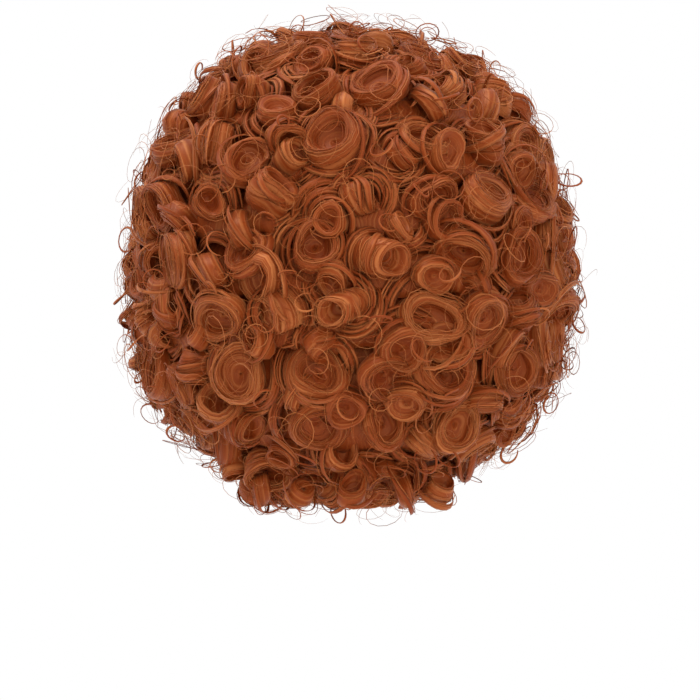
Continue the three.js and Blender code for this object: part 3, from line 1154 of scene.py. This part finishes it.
# %% The under-hair of each weft
MAT_OVERLAP = 3.0
MAT_EDGE_MEAN = 0.6
MAT_EDGE_SWING = 0.4
MAT_EDGE_WAVES = 17
MAT_TOP = 0.6
MAT_TUCK = 0.75
TUCK_RATE = 1.6
END_HEIGHT = 0.25
END_DEPTH = 0.3
ROUND_FROM = 0.4
ROUND_SHARE = 0.93
RIDGE = 0.6 * MM
RIDGES = 41
RIDGE_SWAY = 1.7
RIDGE_SWAYS = 23
MAT_RISE = 2.5 * MM
# The mat is toned darker than most curls: painted shade on the deep under-hair between them.
MAT_PAINTED_SHADE_TONE = 0.3
MAT_SWAY = 2.5 * MM
MAT_WAVE = 4.0 * MM
MAT_BEND = 3
MAT_BENDS = 13


def under_hair(row):
    """One weft's mat: outside and inside distances along each direction, with combed ridges and a
    wavy lower edge. The outside starts tucked in at the top and ends at its full depth over the next
    weft. It thins towards the ends, and rounds off where its lower edge is open to the front."""
    weft = WEFTS[row]
    top, bottom = row_limits(row)
    closed = weft["half_span"] == HALF_TURN
    reach = weft["half_span"] if closed else weft["half_span"] + END_LEAN
    turn = np.linspace(-reach, reach, MAT_STEPS_ROUND, endpoint=not closed)[:, None]
    angle = np.radians(turn)
    to_end = np.ones((MAT_STEPS_ROUND, 1)) if closed else ease((reach - np.abs(turn)) / END_LEAN)
    open_edge = ease((np.abs(turn) - next_half_span(row)) / END_LEAN)
    edge_wave = MAT_EDGE_MEAN + MAT_EDGE_SWING * np.sin(angle * MAT_EDGE_WAVES + row)
    wavy = MAT_OVERLAP * edge_wave * (1 - open_edge)
    down = np.linspace(0, 1, MAT_STEPS_DOWN)[None]
    start = np.maximum(top, MAT_TOP)
    middle = (top + bottom) / 2
    polar = start + (bottom + wavy - start) * down
    polar = middle + (polar - middle) * (END_HEIGHT + (1 - END_HEIGHT) * to_end)
    way = toward(polar, turn)
    inside = hair_inside(way)
    depth = under_hair_outside(way) - inside
    rounded = np.sqrt(1 - ROUND_SHARE * np.clip((down - ROUND_FROM) / (1 - ROUND_FROM), 0, 1) ** 2)
    full = END_DEPTH + (1 - END_DEPTH) * to_end
    full = full * (1 - open_edge + open_edge * rounded)
    tuck = MAT_TUCK + (1 - MAT_TUCK) * ease(down * TUCK_RATE)
    ridges = np.sin(angle * RIDGES + RIDGE_SWAY * np.sin(np.radians(polar) * RIDGE_SWAYS + row))
    outside = inside + full * depth * tuck + MAT_RISE * to_end + RIDGE * ridges
    outer = at_distance(way, np.maximum(outside, inside + MM))
    along = np.radians(polar) * outside
    across = angle * np.sin(np.radians(polar)) * outside
    across = across + MAT_SWAY * np.sin(along / MAT_WAVE + MAT_BEND * np.sin(angle * MAT_BENDS))
    flow = np.stack([across, along, np.full_like(along, row)], axis=-1)
    return wall_mesh(outer, at_distance(way, inside), flow, closed, MAT_PAINTED_SHADE_TONE)


mats = [under_hair(row) for row in range(len(WEFTS))]
print("points of the mats:", sum(len(mat["points"]) for mat in mats))

# %% [markdown]
# ## The finish of the hair
#
# Synthetic hair has a soft satin shine. Its colour runs in fine streaks along each lock, so the
# pattern reads the place across and along the hair that the mesh carries: stretched noise, mixed with
# each lock's tone, which varies at random and also carries painted highlights and painted shade. A
# painted picture would need a flat layout of every ribbon, and the noise needs none. The same streaks
# raise a bump, which breaks up the shine as single hairs do.

# %% Helpers for materials
def set_sockets(node, values):
    """A node with its own values set, by the names of its sockets."""
    for socket, value in values.items():
        node.inputs[socket].default_value = value
    return node


def new_material(name, shine):
    """A material with some values of its shader set."""
    material = bpy.data.materials.new(name)
    material.use_nodes = True
    set_sockets(material.node_tree.nodes["Principled BSDF"], shine)
    return material


def carried(nodes, name):
    """A node that reads a value which the mesh carries at its points."""
    node = nodes.new("ShaderNodeAttribute")
    node.attribute_name = name
    return node


def raise_bump(tree, height, values):
    """A bump from a height, led to the material's shader."""
    bump = set_sockets(tree.nodes.new("ShaderNodeBump"), values)
    tree.links.new(height, bump.inputs["Height"])
    tree.links.new(bump.outputs["Normal"], tree.nodes["Principled BSDF"].inputs["Normal"])


print("materials so far:", len(bpy.data.materials))

# %% The auburn hair
HAIR_SHINE = {
    "Roughness": 0.48,
    "Specular IOR Level": 0.4,
    "Specular Tint": (1.0, 0.55, 0.3, 1),
    "Sheen Weight": 0.1,
    "Sheen Roughness": 0.5,
    "Sheen Tint": (1.0, 0.45, 0.2, 1),
    "Subsurface Weight": 0.15,
    "Subsurface Radius": (1.0, 1.0, 1.0),
    "Subsurface Scale": 0.4 * MM,
}
HAIR_DARK = (0.176, 0.0212, 0.0022, 1)
HAIR_MIDDLE = (0.224, 0.0368, 0.005, 1)
HAIR_LIGHT = (0.4, 0.122, 0.034, 1)
HAIR_RAMP = (0.1, 0.5, 0.9)
STREAKS_PER_METRE = (800, 14, 14)
STREAK_NOISE = {"Scale": 1.0, "Detail": 3.0}
STREAK_CONTRAST = {"From Min": 0.38, "From Max": 0.62}
STREAK_BUMP = {"Strength": 0.4, "Distance": 0.5 * MM}
TONE_SHARE = 0.52


def auburn_hair():
    """Satin auburn: a ramp of streaks and tone for the colour, and a bump from the streaks."""
    material = new_material("auburn_hair", HAIR_SHINE)
    tree = material.node_tree
    nodes = tree.nodes
    links = tree.links
    stretch = set_sockets(nodes.new("ShaderNodeMapping"), {"Scale": STREAKS_PER_METRE})
    streaks = set_sockets(nodes.new("ShaderNodeTexNoise"), STREAK_NOISE)
    contrast = set_sockets(nodes.new("ShaderNodeMapRange"), STREAK_CONTRAST)
    mix = set_sockets(nodes.new("ShaderNodeMix"), {"Factor": TONE_SHARE})
    ramp = nodes.new("ShaderNodeValToRGB")
    dark, light = ramp.color_ramp.elements
    dark.color = HAIR_DARK
    dark.position = HAIR_RAMP[0]
    light.color = HAIR_LIGHT
    light.position = HAIR_RAMP[2]
    ramp.color_ramp.elements.new(HAIR_RAMP[1]).color = HAIR_MIDDLE
    links.new(carried(nodes, "flow").outputs["Vector"], stretch.inputs["Vector"])
    links.new(stretch.outputs["Vector"], streaks.inputs["Vector"])
    links.new(streaks.outputs["Fac"], contrast.inputs["Value"])
    links.new(contrast.outputs["Result"], mix.inputs["A"])
    links.new(carried(nodes, "tone").outputs["Fac"], mix.inputs["B"])
    links.new(mix.outputs["Result"], ramp.inputs["Fac"])
    links.new(ramp.outputs["Color"], nodes["Principled BSDF"].inputs["Base Color"])
    raise_bump(tree, contrast.outputs["Result"], STREAK_BUMP)
    return material


hair_finish = auburn_hair()
print("hair finish:", hair_finish.name, "with", len(hair_finish.node_tree.nodes), "nodes")

# %% [markdown]
# ## From arrays to an object
#
# All the hair is so far only arrays. A mesh could be filled face by face, but a weft has tens of
# thousands of them, so whole arrays go in with one call each: points, the corners of the faces, where
# each face starts, and the flow and tone that the finish reads.

# %% Put arrays into a mesh
POINT_VALUES = {"flow": ("FLOAT_VECTOR", "vector"), "tone": ("FLOAT", "value")}


def put_in_scene(name, data):
    """A new object of some data, linked to the scene."""
    thing = bpy.data.objects.new(name, data)
    bpy.context.scene.collection.objects.link(thing)
    return thing


def mesh_object(name, parts, material):
    """One object from sets of mesh arrays: each set's corners count on from the points before it."""
    keys = ("points", "totals", *POINT_VALUES)
    joined = {key: np.concatenate([p[key] for p in parts]) for key in keys}
    offsets = np.cumsum([0] + [len(p["points"]) for p in parts[:-1]])
    corners = np.concatenate([p["corners"] + o for p, o in zip(parts, offsets)])
    starts = np.cumsum(joined["totals"]) - joined["totals"]
    mesh = bpy.data.meshes.new(name)
    mesh.vertices.add(len(joined["points"]))
    mesh.vertices.foreach_set("co", joined["points"].astype(np.float32).ravel())
    mesh.loops.add(len(corners))
    mesh.loops.foreach_set("vertex_index", corners.astype(np.int32))
    mesh.polygons.add(len(starts))
    mesh.polygons.foreach_set("loop_start", starts.astype(np.int32))
    mesh.polygons.foreach_set("use_smooth", np.ones(len(starts), dtype=bool))
    for key, (kind, field) in POINT_VALUES.items():
        attribute = mesh.attributes.new(key, kind, "POINT")
        attribute.data.foreach_set(field, joined[key].astype(np.float32).ravel())
    mesh.update(calc_edges=True)
    mesh.validate()
    mesh.materials.append(material)
    print(name, int(np.sum(joined["totals"] - 2)), "triangles")
    return put_in_scene(name, mesh)


print("values at each point:", ", ".join(POINT_VALUES))

# %% [markdown]
# ## The wefts
#
# On the real wig each weft is one strip, sewn on as a whole. So each weft's mat, curls and hairs
# become one object in place of its solid. One object for all the hair would be simpler, but then no
# row could be changed or measured by itself.

# %% Make each weft's hair
RIBBON_KEYS = ("paths", "out", "across", "half_width", "half_thick", "tone")
for row, weft in enumerate(WEFTS):
    parts = [mats[row]]
    for size, curl in curl_sizes.items():
        own = curl["weft"] == row
        own_curls = {key: value[own] for key, value in curl.items()}
        parts.append(curl_bodies(own_curls, BODY_GRIDS[size]))
    for bundle in ribbon_sets:
        own = bundle["weft"] == row
        shape = {key: bundle[key][own] for key in RIBBON_KEYS}
        parts.append(ribbons(section=bundle["section"], **shape))
    piece = mesh_object(weft["node"] + "_curls", parts, hair_finish)
    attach(piece, "root")
    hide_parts(weft["node"])

# %% [markdown]
# ## The net cap
#
# The cap is a thin dome of brown net with an edge that goes low at the nape, high over the ears and
# higher at the forehead, with a tab before each ear. The hair is sewn to it along tracks, one between
# each row and the next, and a bound band closes its edge. The net and the tracks are a pattern on a
# plain closed wall: real holes would take far more triangles than they are worth inside a wig.

# %% The wall of the cap
CAP_WALL = 1.5 * MM
CAP_EDGE_TURN = (0, 42, 66, 84, 108, 132, 180)
CAP_EDGE_POLAR = (142, 140, 116, 101, 119, 76, 57)
CAP_STEPS_ROUND = 108
NET_STEPS_DOWN = 26
NET_REACH = (0.006, 0.965)
BINDING = 0.6 * MM
BINDING_STEPS = (0.972, 0.982, 0.992, 1.0)
BINDING_REACH = (0.968, 0.998)
FIRST_TRACK = 10
CAP_TONE = 0.5


def cap_edge(turn):
    """The polar angle of the cap's edge: a cosine ease between the places where it turns."""
    turn = np.abs(turn)
    after = np.clip(np.searchsorted(CAP_EDGE_TURN, turn), 1, len(CAP_EDGE_TURN) - 1)
    turn_before = np.take(CAP_EDGE_TURN, after - 1)
    turn_after = np.take(CAP_EDGE_TURN, after)
    polar_before = np.take(CAP_EDGE_POLAR, after - 1)
    polar_after = np.take(CAP_EDGE_POLAR, after)
    share = (1 - np.cos(np.pi * (turn - turn_before) / (turn_after - turn_before))) / 2
    return polar_before + (polar_after - polar_before) * share


def cap_wall():
    """The cap as a closed wall: the hollow's egg inside, and outside it the wall's thickness. The
    binding adds to both sides."""
    turn = np.linspace(-HALF_TURN, HALF_TURN, CAP_STEPS_ROUND, endpoint=False)[:, None]
    down = np.concatenate([np.linspace(*NET_REACH, NET_STEPS_DOWN), BINDING_STEPS])[None]
    polar = cap_edge(turn) * down
    way = toward(polar, turn)
    bound = BINDING * ((down > BINDING_REACH[0]) & (down < BINDING_REACH[1]))
    inside = egg_radius(HOLLOW, way)
    outer = at_distance(way, inside + CAP_WALL + bound)
    inner = at_distance(way, inside - bound)
    across = np.radians(turn) * np.sin(np.radians(polar)) * inside
    tracks = (polar - CROWN_POLAR) / ROW_PITCH + FIRST_TRACK
    flow = np.stack([across, np.radians(polar) * inside, tracks], axis=-1)
    return wall_mesh(outer, inner, flow, True, CAP_TONE)


cap_arrays = cap_wall()
print("points of the cap:", len(cap_arrays["points"]))

# %% [markdown]
# ## The finish of the net
#
# The net is a knit of crossed threads, dull and dark, and the tracks are lighter lines of stitching.
# Two sets of stripes that cross make the net from arithmetic on the place across and along the cap. A
# woven picture would do too, but it would blur close up.

# %% The brown net
NET_SHINE = {"Roughness": 0.85, "Specular IOR Level": 0.2}
NET_DARK = (0.06, 0.028, 0.016, 1)
NET_LIGHT = (0.2, 0.1, 0.06, 1)
NET_BUMP = {"Strength": 0.6, "Distance": 0.6 * MM}
THREADS_PER_METRE = 420
THREAD_EDGE = 0.36
TRACK_HALF_WIDTH = 0.09
TRACK_HEIGHT = 1.5


def brown_net():
    """Brown net: two crossed sets of threads, and a stitched line at every whole track number."""
    material = new_material("brown_net", NET_SHINE)
    tree = material.node_tree
    nodes = tree.nodes
    links = tree.links
    split = nodes.new("ShaderNodeSeparateXYZ")
    links.new(carried(nodes, "flow").outputs["Vector"], split.inputs["Vector"])

    def math(operation, first, second):
        """One step of arithmetic on two values, each a number or another node's output."""
        node = nodes.new("ShaderNodeMath")
        node.operation = operation
        for socket, value in zip(node.inputs, (first, second)):
            if isinstance(value, (int, float)):
                socket.default_value = value
            else:
                links.new(value, socket)
        return node.outputs["Value"]

    threads = []
    for operation in ("ADD", "SUBTRACT"):
        diagonal = math(operation, split.outputs["X"], split.outputs["Y"])
        threads.append(math("PINGPONG", math("MULTIPLY", diagonal, THREADS_PER_METRE), 0.5))
    net = math("GREATER_THAN", math("MAXIMUM", *threads), THREAD_EDGE)
    track = math("LESS_THAN", math("PINGPONG", split.outputs["Z"], 0.5), TRACK_HALF_WIDTH)
    colour = nodes.new("ShaderNodeMix")
    colour.data_type = "RGBA"
    set_sockets(colour, {"A": NET_DARK, "B": NET_LIGHT})
    links.new(math("MAXIMUM", net, track), colour.inputs["Factor"])
    links.new(colour.outputs["Result"], nodes["Principled BSDF"].inputs["Base Color"])
    raise_bump(tree, math("ADD", net, math("MULTIPLY", track, TRACK_HEIGHT)), NET_BUMP)
    return material


cap_piece = mesh_object("cap_net", [cap_arrays], brown_net())
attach(cap_piece, "root")
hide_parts("cap")

# %% [markdown]
# ## The studio
#
# A pale floor lies well below the wig, which is held up at its crown. Hair shows best in soft light,
# so a white world lights it from all sides. A key light above shapes the curls, and a weaker fill
# light beside the camera opens the shadows. One strong lamp would make hard shadows among the curls.

# %% The floor
FLOOR_LEVEL = -0.55
FLOOR_REACH = 1.6
FLOOR_COLOUR = (0.9, 0.9, 0.9, 1)

floor_corners = FLOOR_REACH * np.array([[-1, -1, 0], [1, -1, 0], [1, 1, 0], [-1, 1, 0]])
floor_mesh = bpy.data.meshes.new("floor")
floor_mesh.from_pydata((floor_corners + FLOOR_LEVEL * UP).tolist(), [], [(0, 1, 2, 3)])
floor_mesh.materials.append(new_material("pale_floor", {"Base Color": FLOOR_COLOUR}))
floor = put_in_scene("floor", floor_mesh)
print("floor:", 2 * FLOOR_REACH, "m across")

# %% The light
WHITE = (1, 1, 1, 1)
LIGHT_TARGET = np.array([0, 0, -0.1])
LIGHT_SIZE = 1.0
LIGHTS = {
    "key": {"place": (0.6, 0.4, 1.8), "power": 29},
    "fill": {"place": (-0.6, 1.7, 0.3), "power": 10},
}


def area_light(name, place, power):
    """A square soft light at a place, turned to the target."""
    light = bpy.data.lights.new(name, "AREA")
    light.size = LIGHT_SIZE
    light.energy = power
    lamp = put_in_scene(name, light)
    lamp.location = place
    away = unit(np.array(place) - LIGHT_TARGET)
    lamp.rotation_euler = (np.arccos(away[2]), 0, np.arctan2(away[1], away[0]) + np.pi / 2)


world = bpy.data.worlds.new("white_studio")
world.use_nodes = True
set_sockets(world.node_tree.nodes["Background"], {"Color": WHITE, "Strength": 1.0})
bpy.context.scene.world = world
for name, light in LIGHTS.items():
    area_light(name, **light)
print("lights:", ", ".join(LIGHTS))

# %% [markdown]
# ## The camera
#
# The camera looks level at the back of the wig. From close by, the curls in the middle would look too
# big, so it stands far off with a long lens. The lens follows from the distance and the width that
# the picture takes in.

# %% The camera
FRAME_WIDTH = 0.42
CAMERA_DISTANCE = 1.8
CAMERA_LEVEL = -0.132
SENSOR = 36.0

camera_data = bpy.data.cameras.new("camera")
camera_data.sensor_width = SENSOR
camera_data.lens = SENSOR * CAMERA_DISTANCE / FRAME_WIDTH
camera = put_in_scene("camera", camera_data)
camera.location = (0, CAMERA_DISTANCE, CAMERA_LEVEL)
camera.rotation_euler = (np.pi / 2, 0, np.pi)
bpy.context.scene.camera = camera
bpy.context.scene.view_settings.view_transform = "Standard"
print("lens:", round(camera_data.lens, 1), "mm")
